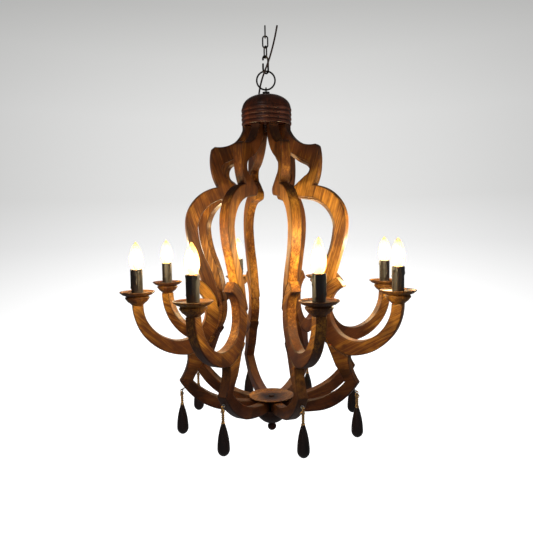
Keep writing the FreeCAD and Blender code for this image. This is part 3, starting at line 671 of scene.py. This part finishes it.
class CHANDELIER_OT_boards(bpy.types.Operator):
    """Saw the ribs, arms and feet of the cage, with rounded and darkened edges"""
    bl_idname = "chandelier.boards"
    bl_label = "Ribs, arms and feet"

    def execute(self, context):
        look = context.scene.chandelier_boards
        wood = context.scene.chandelier_wood
        oak = grained_wood("stained_wood", wood.pale, wood.middle, wood.dark, wood.edge)
        kinds = [("rib", "upper_rib", RIB_LINE, 0), ("arm", "arm", ARM_LINE, 62),
                 ("foot", "foot", FOOT_LINE, 80)]
        draw = random.Random(8)
        for name, node, path, slope in kinds:
            for number in LIGHTS:
                seed = draw.uniform(0, 9)
                shape = Shape()
                board = board_shape(path, look, seed, slope + 4 * seed - 18)
                shift = (700 * seed, 300 * seed, 900 * seed)
                shape.add(board.points, board.faces, at_light(number), board.wear, 0,
                          board.grain, shift)
                shape.build("%s_%d" % (name, number), [oak], "chandelier",
                            ["%s_%d" % (node, number)])
        plain = grained_wood("dowel_wood", wood.pale, wood.middle, wood.dark, wood.edge, False)
        dress("joint_dowels", plain)
        return {"FINISHED"}


# ------------------------ cups and candles

CUP_LINE = [
    (5, -34), (15, -34), (24, -26, 34, RIGHT), (30, -18), (30.6, -16.2), (30, -14.4), (27, -12.5),
    (36, -8.6, 40, RIGHT), (43.5, -2.6), (43.5, -0.2), (41.6, 0), (40.6, -0.6),
    (33, -3.6, 20, RIGHT), (5, -3.6)]


class CHANDELIER_OT_cups(bpy.types.Operator):
    """Turn the eight wooden candle cups"""
    bl_idname = "chandelier.cups"
    bl_label = "Candle cups"

    def execute(self, context):
        wood = context.scene.chandelier_wood
        finish = grained_wood("cup_wood", scaled(wood.pale, 0.8), scaled(wood.middle, 0.8),
                              wood.dark, wood.edge)
        profile = softened(drawn_line(CUP_LINE, True, 3), True, 0.7, 3)
        shape = Shape()
        for number in LIGHTS:
            shape.turn(profile, True, 56, at_light(number, ARM_REACH),
                       shift=(210 * number, 90 * number, 0))
        shape.build("cups", [finish], "chandelier", ["candle_cups"])
        return {"FINISHED"}


SLEEVE_FOOT = -3.6
SLEEVE_RADIUS = 14.4
SLEEVE_SIDE = 59.0
SLEEVE_ROWS = 30
SLEEVE_LIP = [(14.3, 55.7), (14.2, 56.0), (14.0, 55.8), (13.9, 54.0)]


class CHANDELIER_OT_candles(bpy.types.Operator):
    """Mould the eight dark candle sleeves with their drips"""
    bl_idname = "chandelier.candles"
    bl_label = "Candle sleeves"

    def execute(self, context):
        look = context.scene.chandelier_candles
        draw = random.Random(21)
        outside = [(SLEEVE_RADIUS, SLEEVE_FOOT + SLEEVE_SIDE * k / SLEEVE_ROWS)
                   for k in range(SLEEVE_ROWS + 1)]
        profile = [(*spot, 0.0) for spot in [(13.9, SLEEVE_FOOT)] + outside + SLEEVE_LIP]
        shape = Shape()
        for number in LIGHTS:
            # Each drip: its angle, its width, the level that it runs down to, and its size.
            drips = [(draw.uniform(0, 2 * math.pi), draw.uniform(0.13, 0.26),
                      draw.uniform(4, 50), draw.uniform(0.55, 1)) for drip in range(13)]

            def swell(angle, level, reach):
                if reach < SLEEVE_RADIUS:
                    return 0
                high = 0.0
                for middle, width, low, size in drips:
                    away = (angle - middle + math.pi) % (2 * math.pi) - math.pi
                    body = math.exp(-(away / width) ** 2)
                    fall = 1 / (1 + math.exp((low - level) / 1.3))
                    bead = 0.5 * math.exp(-((level - low - 2) / 3.2) ** 2)
                    high = max(high, size * body * (fall * 0.7 + bead))
                return look.drip * high
            shape.turn(profile, True, 72, at_light(number, ARM_REACH), swell=swell,
                       shift=(0, 0, 130 * number))
        shape.build("sleeves", [resin_finish(look.resin)], "chandelier", ["candle_sleeves"])
        dress("lampholders", plastic_finish("black_plastic", (0.02, 0.02, 0.02), 0.45, False))
        return {"FINISHED"}


GLASS_LINE = [(0, 48.3), (6.8, 48.3), (6.8, 54), (16.5, 78, 34.5, LEFT),
              (1.2, 125, 79.8, LEFT), (0, 125)]
HEART_LINE = [(0, 52), (4.5, 54), (11, 75, 32, LEFT), (0.4, 108, 56, LEFT), (0, 108)]
BULB_CAP_FOOT = [(0, 24.3), (3, 24.3), (3, 26.3), (6.2, 26.6)]
BULB_CAP_TOP = [(6.8, 48.3), (0, 48.3)]
LAMP_LEVEL = 80


class CHANDELIER_OT_bulbs(bpy.types.Operator):
    """Blow the eight flame bulbs, each with its cap and its lit heart"""
    bl_idname = "chandelier.bulbs"
    bl_label = "Bulbs"

    def execute(self, context):
        look = context.scene.chandelier_candles
        skins = [glass_finish(), glow_finish(look.glow),
                 metal_finish("bulb_cap_metal", (0.62, 0.56, 0.42), 0.25, 1.0)]
        glass = softened(drawn_line(GLASS_LINE, False, 2), False, 0.6)
        heart = [(*point, 0.0) for point in drawn_line(HEART_LINE, False, 2)]
        thread = [(6.3 + 0.4 * math.sin(k * math.pi / 2), 28 + 0.75 * k) for k in range(27)]
        cap = [(*spot, 0.0) for spot in BULB_CAP_FOOT + thread + BULB_CAP_TOP]
        for number in LIGHTS:
            shape = Shape()
            here = at_light(number, ARM_REACH)
            shape.turn(glass, False, 40, here, 0)
            shape.turn(heart, False, 28, here, 1)
            shape.turn(cap, False, 32, here, 2)
            bulb = shape.build("candle_bulb_%d" % number, skins, "bulb_%d" % number,
                               ["bulb_%d" % number])
            bulb.visible_shadow = False
            lamp = bpy.data.lights.new("bulb_light_%d" % number, "POINT")
            lamp.energy = look.lamp_power
            lamp.color = (1.0, 0.78, 0.42)
            lamp.shadow_soft_size = 0.012
            light = bpy.data.objects.new("bulb_light_%d" % number, lamp)
            light.location = metres(here @ Vector((0, 0, LAMP_LEVEL)))
            context.scene.collection.objects.link(light)
        return {"FINISHED"}


# ------------------------ drops

DROP_LINE = [(0, -382), (15, -365, 17.6, LEFT), (4.6, -304, 190, LEFT), (3.1, -304),
             (3.1, -311), (0, -311)]

# Each tie round the twine: its slope, its level and its radius.
TWINE_TIES = [(0.3, -271.0, 3.2), (-0.35, -274.2, 3.5), (0.15, -302.4, 3.6)]


class CHANDELIER_OT_drops(bpy.types.Operator):
    """Turn the eight wooden drops and tie them up with twisted twine"""
    bl_idname = "chandelier.drops"
    bl_label = "Drops and twine"

    def execute(self, context):
        wood = context.scene.chandelier_wood
        varnish = grained_wood("drop_wood", scaled(wood.drop, 2.2), wood.drop,
                               scaled(wood.drop, 0.5), scaled(wood.drop, 0.5), True, 0.25, 0.28)
        skins = [varnish, twine_finish(context.scene.chandelier_metal.twine)]
        profile = softened(drawn_line(DROP_LINE, False, 2.5), False, 0.6)
        for number in LIGHTS:
            draw = random.Random(number)
            here = at_light(number, PIVOT_REACH)
            shape = Shape()
            shape.turn(profile, False, 40, here, 0, (50 * number, 0, 70 * number))
            start = draw.uniform(0, 6)
            for strand in (0, math.pi):
                turns = [(start + strand + 0.62 * k, -310 + 1.0 * k) for k in range(40)]
                line = [Vector((1.9 * math.cos(turn), 1.9 * math.sin(turn), level))
                        for turn, level in turns]
                shape.sweep(line, 2.05, 9, place=here, skin=1, shift=(0, 0, 30 * number))
            for lean, level, size in TWINE_TIES:
                tie = [Vector((size * math.cos(turn), size * math.sin(turn),
                               level + lean * size * math.sin(turn + start)))
                       for turn in full_turn(18)]
                shape.sweep(tie, 1.7, 8, True, (0, 0, 1), here, 1)
            for side in (-0.95, 0.95):
                loop = [Vector((3 * math.sin(turn), side, -265.2 + 3.1 * math.cos(turn)))
                        for turn in full_turn(18)]
                shape.sweep(loop, 0.95, 8, True, (0, 1, 0), here, 1)
            for tail in range(2):
                turn = draw.uniform(0, 6)
                out = Vector((math.cos(turn), math.sin(turn), 0))
                line = [Vector((0, 0, -272)) + out * (2 + 1.1 * k) - Vector((0, 0, 0.16 * k * k))
                        for k in range(7)]
                shape.sweep(line, [1.2 - 0.1 * k for k in range(7)], 6, place=here, skin=1)
            shape.build("hanging_drop_%d" % number, skins, "drop_%d" % number,
                        ["drop_%d" % number])
        dress("screw_eyes", metal_finish("nickel", (0.62, 0.6, 0.56), 0.22, 1.0, False))
        return {"FINISHED"}


# ------------------------ top cap

CAP_MOUTH = 424
CAP_SHOULDER = 471
CAP_TOP = 501
CAP_LINE = [
    (53, CAP_MOUTH), (65.2, CAP_MOUTH), (65.2, CAP_SHOULDER), (58.5, 487, 34, LEFT),
    (38, CAP_TOP, 50, LEFT), (4.2, CAP_TOP), (4.2, 490), (38, 490), (53, CAP_SHOULDER)]

# The height of one bead of the cap.
BEAD = 11.75


class CHANDELIER_OT_cap(bpy.types.Operator):
    """Turn the cap that holds the ribs, and dress its plate and fixings"""
    bl_idname = "chandelier.cap"
    bl_label = "Top cap"

    def execute(self, context):
        wood = context.scene.chandelier_wood
        # The cap takes a quarter of the painted shade and darker stain towards the top.
        finish = grained_wood("cap_wood", scaled(wood.cap, 2.6), wood.cap,
                              scaled(wood.cap, 0.4), scaled(wood.cap, 0.3), True, 0.35, 0.32,
                              0.25)

        def uneven(angle, level, reach):
            """How far the cap stands out: its top stays flat, and beads run round its side."""
            if reach < 34 or level > CAP_TOP - 0.5:
                return 0
            around = Vector((math.cos(angle), math.sin(angle), level * 0.02))
            chip = 0.7 * noise.noise(around * 1.6)
            if not CAP_MOUTH < level < CAP_SHOULDER:
                return chip - 0.3
            wander = 1.6 * noise.noise(around * 1.3 + Vector((5, 0, 0)))
            step = (level - CAP_MOUTH + wander) / BEAD
            bulge = 1 - abs(2 * (step % 1) - 1) ** 2.4
            return 2.6 * bulge - 1.2 + chip
        shape = Shape()
        profile = softened(drawn_line(CAP_LINE, True, 0.8), True, 1.4, 3)
        place = Matrix.Rotation(CHAIN_TURN, 4, "Z")
        shape.turn(profile, True, 96, place, swell=uneven)
        shape.build("cap", [finish], "chandelier", ["top_cap"])
        plain = grained_wood("plate_wood", scaled(wood.cap, 2.1), wood.cap,
                             scaled(wood.cap, 0.45), wood.edge, False)
        dress("top_plate", plain)
        dress("cap_fixings", metal_finish("zinc", (0.5, 0.5, 0.5), 0.3, 1.0, False))
        dress("terminal_block", plastic_finish("white_plastic", (0.75, 0.75, 0.72), 0.4, False))
        return {"FINISHED"}


# ------------------------ foot of the cage

DISH_LINE = [
    (3.2, -310), (50, -310), (62, -305.5), (62, -303), (59.5, -303), (48, -306.6), (3.2, -306.6)]
BOSS_LINE = [(3.2, -379), (14, -379), (42, -352, 45, LEFT), (42, -338), (3.2, -338)]
FINIAL_LINE = [(0, -402.5), (12, -392.5, 12.5, LEFT), (7, -381.5, 12.5, LEFT), (7, -379),
               (0, -379)]


class CHANDELIER_OT_cage_foot(bpy.types.Operator):
    """Turn the dish, boss and finial under the cage"""
    bl_idname = "chandelier.cage_foot"
    bl_label = "Dish, boss and finial"

    def execute(self, context):
        wood = context.scene.chandelier_wood
        dark = grained_wood("foot_wood", scaled(wood.middle, 0.9), scaled(wood.cap, 1.3),
                            scaled(wood.cap, 0.5), wood.edge)
        # The dish takes little of the painted shade and darker stain at the foot.
        pale = grained_wood("dish_wood", wood.pale, wood.middle, wood.dark, wood.edge, stain=0.1)
        pieces = [("dish", DISH_LINE, True, "bottom_dish", 72, pale),
                  ("boss", BOSS_LINE, True, "bottom_boss", 64, dark),
                  ("finial_ball", FINIAL_LINE, False, "finial", 40, dark)]
        for name, path, closed, node, sides, finish in pieces:
            shape = Shape()
            profile = softened(drawn_line(path, closed, 2), closed, 0.8, 3)
            shape.turn(profile, closed, sides, shift=(300, 0, 0))
            shape.build(name, [finish], "chandelier", [node])
        dress("tie_bolt", metal_finish("painted_bolt", (0.17, 0.06, 0.015), 0.5, 0.0, False))
        return {"FINISHED"}


# ------------------------ ring and chain

# Node, body, turn in degrees, length, width, wire, gap, and how far above the link's middle
# the gap is.
LINKS = [("top_link", "top_link", 90, 34, 17, 3.75, 0, 0),
         ("chain_link_1", "upper_link", 0, 34, 17, 3.75, 0, 0),
         ("chain_link_2", "lower_link", -62, 34, 17, 3.75, 0, 0),
         ("open_link", "open_link", 50, 49.5, 26, 5, 8.5, 5)]
RING_RADIUS = 24.25
RING_WIRE = 2.22


def link_line(length, width, wire, gap=0.0, rise=0.0):
    """The middle line of a bent link in its own XZ plane, its top wire at height 0."""
    side = (width - wire) / 2
    high = -side
    low = side - (length - wire)
    start = (high + low) / 2 + rise - gap / 2
    finish = start + gap

    def straight(x, first, last, count=8):
        return [(x, first + (last - first) * k / 8) for k in range(count)]

    def bow(level, first):
        turns = [first + math.pi * k / 14 for k in range(14)]
        return [(side * math.cos(turn), level + side * math.sin(turn)) for turn in turns]

    runs = straight(-side, start, low) + bow(low, math.pi) + straight(side, low, high)
    runs += bow(high, 0.0) + straight(-side, high, finish, 9 if gap else 8)
    return [Vector((x, 0, z)) for x, z in runs]


class CHANDELIER_OT_chain(bpy.types.Operator):
    """Bend the links, the open link and the ring"""
    bl_idname = "chandelier.chain"
    bl_label = "Ring and chain"

    def execute(self, context):
        bronze = context.scene.chandelier_metal.bronze
        finish = metal_finish("dark_bronze", bronze, 0.38, 0.5)
        for number, (node, body, turn, length, width, wire, gap, rise) in enumerate(LINKS):
            top = 1000 * (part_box(node)[1].z - RIM) - wire / 2
            place = Matrix.Translation((0, 0, top))
            place @= Matrix.Rotation(CHAIN_TURN + math.radians(turn), 4, "Z")
            line = link_line(length, width, wire, gap, rise)
            radii = [wire / 2] * len(line)
            if gap:
                radii[0] = radii[-1] = wire * 0.42
            shape = Shape()
            shape.sweep(line, radii, 14, not gap, (0, 1, 0), place, shift=(0, 0, 90 * number))
            shape.build("bent_" + node, [finish], body, [node])
        low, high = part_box("hanging_ring")
        middle = 1000 * ((low.z + high.z) / 2 - RIM)
        place = Matrix.Translation((0, 0, middle)) @ Matrix.Rotation(CHAIN_TURN, 4, "Z")
        line = [Vector((RING_RADIUS * math.cos(turn), 0, RING_RADIUS * math.sin(turn)))
                for turn in full_turn(72)]
        shape = Shape()
        shape.sweep(line, RING_WIRE, 14, True, (0, 1, 0), place)
        shape.build("ring", [finish], "ring", ["hanging_ring"])
        dress("cap_eye", metal_finish("eye_bronze", scaled(bronze, 1.6), 0.38, 0.5, False))
        return {"FINISHED"}


# ------------------------ cord, camera and stage

# The points that the cord is led along, from the terminal block up, before the chain's turn.
CORD_ROUTE = [
    (-20, -3, 450), (-20, -3, 469), (-20, -4, 489), (-18.5, -9, 512), (-12, -14, 539),
    (-3.5, -16, 562), (5, -14, 583), (12, -11, 603), (18, -8, 624), (24, -5.5, 647),
    (28.5, -4, 667), (32, -3, 685)]
CORD_RADIUS = 2.3

# The cord is cut into two runs at this height above the cup rims.
# Each run: name, body above, body below, where its bend starts and ends, length and far end.
# Metres.
CORD_CUT = 0.545
CORD_RUNS = [("flex", "ring", "chandelier", 0.540, 0.503, 0.0993, "object"),
             ("flex_top", "open_link", "ring", 0.590, 0.550, 0.1449, "bare")]


class CHANDELIER_OT_cord(bpy.types.Operator):
    """Lead the supply cord out of the cap and up beside the chain"""
    bl_idname = "chandelier.cord"
    bl_label = "Supply cord"

    def execute(self, context):
        turn = Matrix.Rotation(CHAIN_TURN, 4, "Z")
        route = [metres(turn @ Vector(point)) for point in CORD_ROUTE]
        curve = bpy.data.curves.new("cord_route", "CURVE")
        curve.dimensions = "3D"
        curve.resolution_u = 10
        spline = curve.splines.new("NURBS")
        spline.points.add(len(route) - 1)
        for point, spot in zip(spline.points, route):
            point.co = (*spot, 1)
        spline.order_u = 3
        spline.use_endpoint_u = True
        guide = bpy.data.objects.new("cord_route", curve)
        context.scene.collection.objects.link(guide)
        context.view_layer.update()
        line = [vertex.co.copy() for vertex in bpy.data.meshes.new_from_object(guide).vertices]
        bpy.data.objects.remove(guide)
        cover = plastic_finish("cord_cover", context.scene.chandelier_metal.cord, 0.4)
        cut = next(k for k, spot in enumerate(line) if spot.z > RIM + CORD_CUT)
        for path, run in zip((line[:cut + 1], line[cut:]), CORD_RUNS):
            name, above, below, start, end, length, far_end = run
            shape = Shape()
            shape.sweep([(spot - Vector((0, 0, RIM))) * 1000 for spot in path], CORD_RADIUS, 12)
            cord = shape.build(name, [cover], None, ["supply_cord"])
            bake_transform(cord)
        return {"FINISHED"}


# The camera that was fitted to the photograph. Its place, in metres from the middle of the cup
# rims, and its roll are set before it is turned round the chandelier. Angles in radians.
CAMERA_LENS = 35.755
CAMERA_PLACE = (0, -1.43248, 0.14284)
CAMERA_TURN = math.radians(-17.18)
CAMERA_ROLL = 0.0181
CAMERA_PAN = 0.0057
CAMERA_TILT = -0.0645


class CHANDELIER_OT_camera(bpy.types.Operator):
    """Stand the camera where the photograph was taken from"""
    bl_idname = "chandelier.camera"
    bl_label = "Camera"

    def execute(self, context):
        data = bpy.data.cameras.new("camera")
        data.sensor_width = 36
        data.lens = CAMERA_LENS
        data.clip_end = 100
        camera = bpy.data.objects.new("camera", data)
        turn = Matrix.Rotation(CAMERA_TURN, 4, "Z") @ Matrix.Rotation(CAMERA_ROLL, 4, "Y")
        upright = math.pi / 2 + CAMERA_TILT
        aim = Matrix.Rotation(CAMERA_PAN, 4, "Z") @ Matrix.Rotation(upright, 4, "X")
        spot = turn @ Vector(CAMERA_PLACE) + Vector((0, 0, RIM))
        camera.matrix_world = Matrix.Translation(spot) @ turn @ aim
        context.scene.collection.objects.link(camera)
        context.scene.camera = camera
        return {"FINISHED"}


# The room's outline about its own middle, its height in metres, and its greys from the floor
# up, placed by shares of that height.
ROOM_LINE = [(0, -2600), (4200, -2600), (5200, -1600, 1000, LEFT), (5200, 2600),
             (4200, 3600, 1000, LEFT), (0, 3600)]
ROOM_HEIGHT = 6
ROOM_GREYS = [
    (0.2, (1, 1, 1)), (0.31, (0.81, 0.81, 0.81)), (0.39, (0.66, 0.66, 0.66)),
    (0.477, (0.565, 0.565, 0.56)), (0.64, (0.545, 0.545, 0.54)), (0.76, (0.476, 0.476, 0.47)),
    (0.863, (0.381, 0.381, 0.375)), (0.95, (0.33, 0.33, 0.325))]

# Left to right in the picture, and how much darker the room gets there, per square metre.
PICTURE_ACROSS = (0.9554, -0.2954, 0)
VIGNETTE = 0.0225


def soft_lamp(scene, name, power, size, spot):
    """A round lamp that shines at the middle of the cup rims."""
    data = bpy.data.lights.new(name, "AREA")
    data.shape = "DISK"
    data.size = size
    data.energy = power
    lamp = bpy.data.objects.new(name, data)
    lamp.location = spot
    away = Vector(spot) - Vector((0, 0, RIM))
    lamp.rotation_euler = away.to_track_quat("Z", "Y").to_euler()
    lamp.visible_camera = False
    scene.collection.objects.link(lamp)


class CHANDELIER_OT_stage(bpy.types.Operator):
    """Set up the pale room, the even light and the soft lamps"""
    bl_idname = "chandelier.stage"
    bl_label = "Stage"

    def execute(self, context):
        scene = context.scene
        look = scene.chandelier_stage
        scene.view_settings.view_transform = "Standard"
        world = bpy.data.worlds.new("studio")
        scene.world = world
        sky = Finish(world)
        even = sky.node("ShaderNodeBackground", None,
                        {"Color": (1.0, 0.985, 0.96, 1.0), "Strength": look.sky})
        sky.node("ShaderNodeOutputWorld", None, {"Surface": even})
        room = new_finish("studio_paper")
        spot = room.object_place()
        across = room.node("ShaderNodeVectorMath", {"operation": "DOT_PRODUCT"},
                           {0: spot, 1: PICTURE_ACROSS}, 1)
        grey = room.ramp(room.height(spot) * (1 / ROOM_HEIGHT) + 0.5, ROOM_GREYS)
        seen = room.node("ShaderNodeLightPath")
        glossy = Wire(room, seen.socket.node.outputs["Is Glossy Ray"])
        through = Wire(room, seen.socket.node.outputs["Is Transmission Ray"])
        share = (seen + glossy * 0.2 + through) * (1 - across * across * VIGNETTE)
        lit = room.mixed(share, (0, 0, 0), grey)
        paper = room.surface(Base_Color=(0, 0, 0), Roughness=0.9, Emission_Color=lit,
                             Emission_Strength=1.4, Specular_IOR_Level=0.0)
        profile = drawn_line(ROOM_LINE, False, 120)
        shape = Shape()
        shape.turn([(point.x, point.y - 1000 * RIM, 0.0) for point in profile], False, 96)
        shell = shape.build("room", [paper], None)
        shell.visible_diffuse = False
        shell.visible_shadow = False
        soft_lamp(scene, "key_lamp", look.key, 1.6, (-2.0, -2.2, 1.0))
        soft_lamp(scene, "fill_lamp", look.fill, 1.8, (2.3, -1.4, -0.2))
        soft_lamp(scene, "back_lamp", look.fill, 1.6, (0.8, 2.6, 0.9))
        return {"FINISHED"}


# ------------------------ panel and start

STEPS = [CHANDELIER_OT_camera, CHANDELIER_OT_cord, CHANDELIER_OT_boards, CHANDELIER_OT_cups,
         CHANDELIER_OT_candles, CHANDELIER_OT_bulbs, CHANDELIER_OT_drops, CHANDELIER_OT_cap,
         CHANDELIER_OT_cage_foot, CHANDELIER_OT_chain, CHANDELIER_OT_stage]


class CHANDELIER_PT_panel(bpy.types.Panel):
    """Lists the sizes, the colours and the steps of the chandelier"""
    bl_label = "Chandelier"
    bl_idname = "CHANDELIER_PT_panel"
    bl_space_type = "VIEW_3D"
    bl_region_type = "UI"
    bl_category = "Chandelier"

    def draw(self, context):
        for name in LOOKS:
            box = self.layout.box()
            look = getattr(context.scene, name)
            for prop in look.__annotations__:
                box.prop(look, prop)
        for step in STEPS:
            self.layout.operator(step.bl_idname)


def register():
    for name, look in LOOKS.items():
        bpy.utils.register_class(look)
        setattr(bpy.types.Scene, name, PointerProperty(type=look))
    for step in STEPS:
        bpy.utils.register_class(step)
    bpy.utils.register_class(CHANDELIER_PT_panel)


def unregister():
    bpy.utils.unregister_class(CHANDELIER_PT_panel)
    for step in reversed(STEPS):
        bpy.utils.unregister_class(step)
    for name, look in LOOKS.items():
        delattr(bpy.types.Scene, name)
        bpy.utils.unregister_class(look)


def main():
    register()
    for step in STEPS:
        getattr(bpy.ops.chandelier, step.bl_idname.split(".")[1])()


if __name__ == "__main__":
    main()
